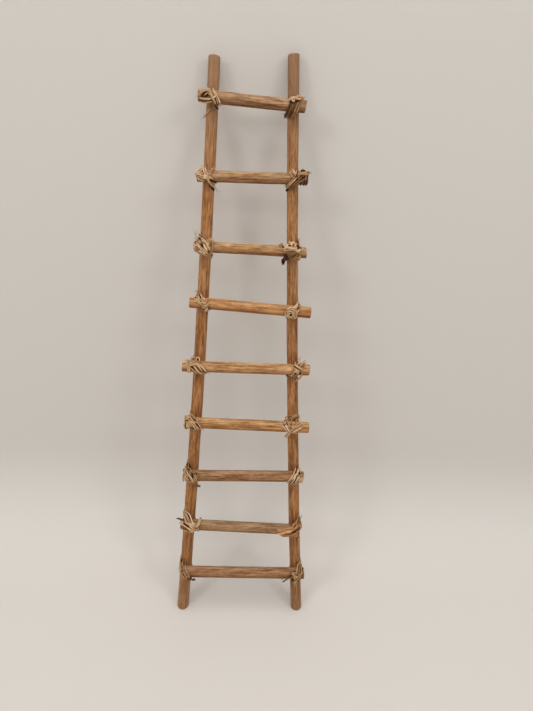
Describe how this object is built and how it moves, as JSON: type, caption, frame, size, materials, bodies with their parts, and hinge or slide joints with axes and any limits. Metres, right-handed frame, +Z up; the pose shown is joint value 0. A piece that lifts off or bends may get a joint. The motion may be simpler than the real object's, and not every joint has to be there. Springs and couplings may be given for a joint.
{
  "type": "rustic cane ladder",
  "caption": "Small rigid ladder of peeled cane: two splayed rails, round rungs laid across their front, and a fibre lashing at every crossing.",
  "frame": {"origin": "on the floor under the middle of the ladder's box, between the feet and the top", "axes": "+Z up from the floor, -Y is the front with the rungs, +X to the right seen from the front; the ladder leans back 12.8 degrees towards +Y"},
  "size_m": [0.1274, 0.124, 0.4876],
  "materials": {
    "rail_cane": "satin peeled cane, orange-brown",
    "rung_cane": "satin peeled cane, pale tan",
    "lashing_fibre": "dry twisted straw-coloured fibre"
  },
  "bodies": {
    "root": {"left_rail": "rail_cane", "right_rail": "rail_cane", "rung_1": "rung_cane", "rung_1_left_lashing": "lashing_fibre", "rung_1_right_lashing": "lashing_fibre", "rung_2": "rung_cane", "rung_2_left_lashing": "lashing_fibre", "rung_2_right_lashing": "lashing_fibre", "rung_3": "rung_cane", "rung_3_left_lashing": "lashing_fibre", "rung_3_right_lashing": "lashing_fibre", "rung_4": "rung_cane", "rung_4_left_lashing": "lashing_fibre", "rung_4_right_lashing": "lashing_fibre", "rung_5": "rung_cane", "rung_5_left_lashing": "lashing_fibre", "rung_5_right_lashing": "lashing_fibre", "rung_6": "rung_cane", "rung_6_left_lashing": "lashing_fibre", "rung_6_right_lashing": "lashing_fibre", "rung_7": "rung_cane", "rung_7_left_lashing": "lashing_fibre", "rung_7_right_lashing": "lashing_fibre", "rung_8": "rung_cane", "rung_8_left_lashing": "lashing_fibre", "rung_8_right_lashing": "lashing_fibre", "rung_9": "rung_cane", "rung_9_left_lashing": "lashing_fibre", "rung_9_right_lashing": "lashing_fibre"}
  },
  "joints": []
}
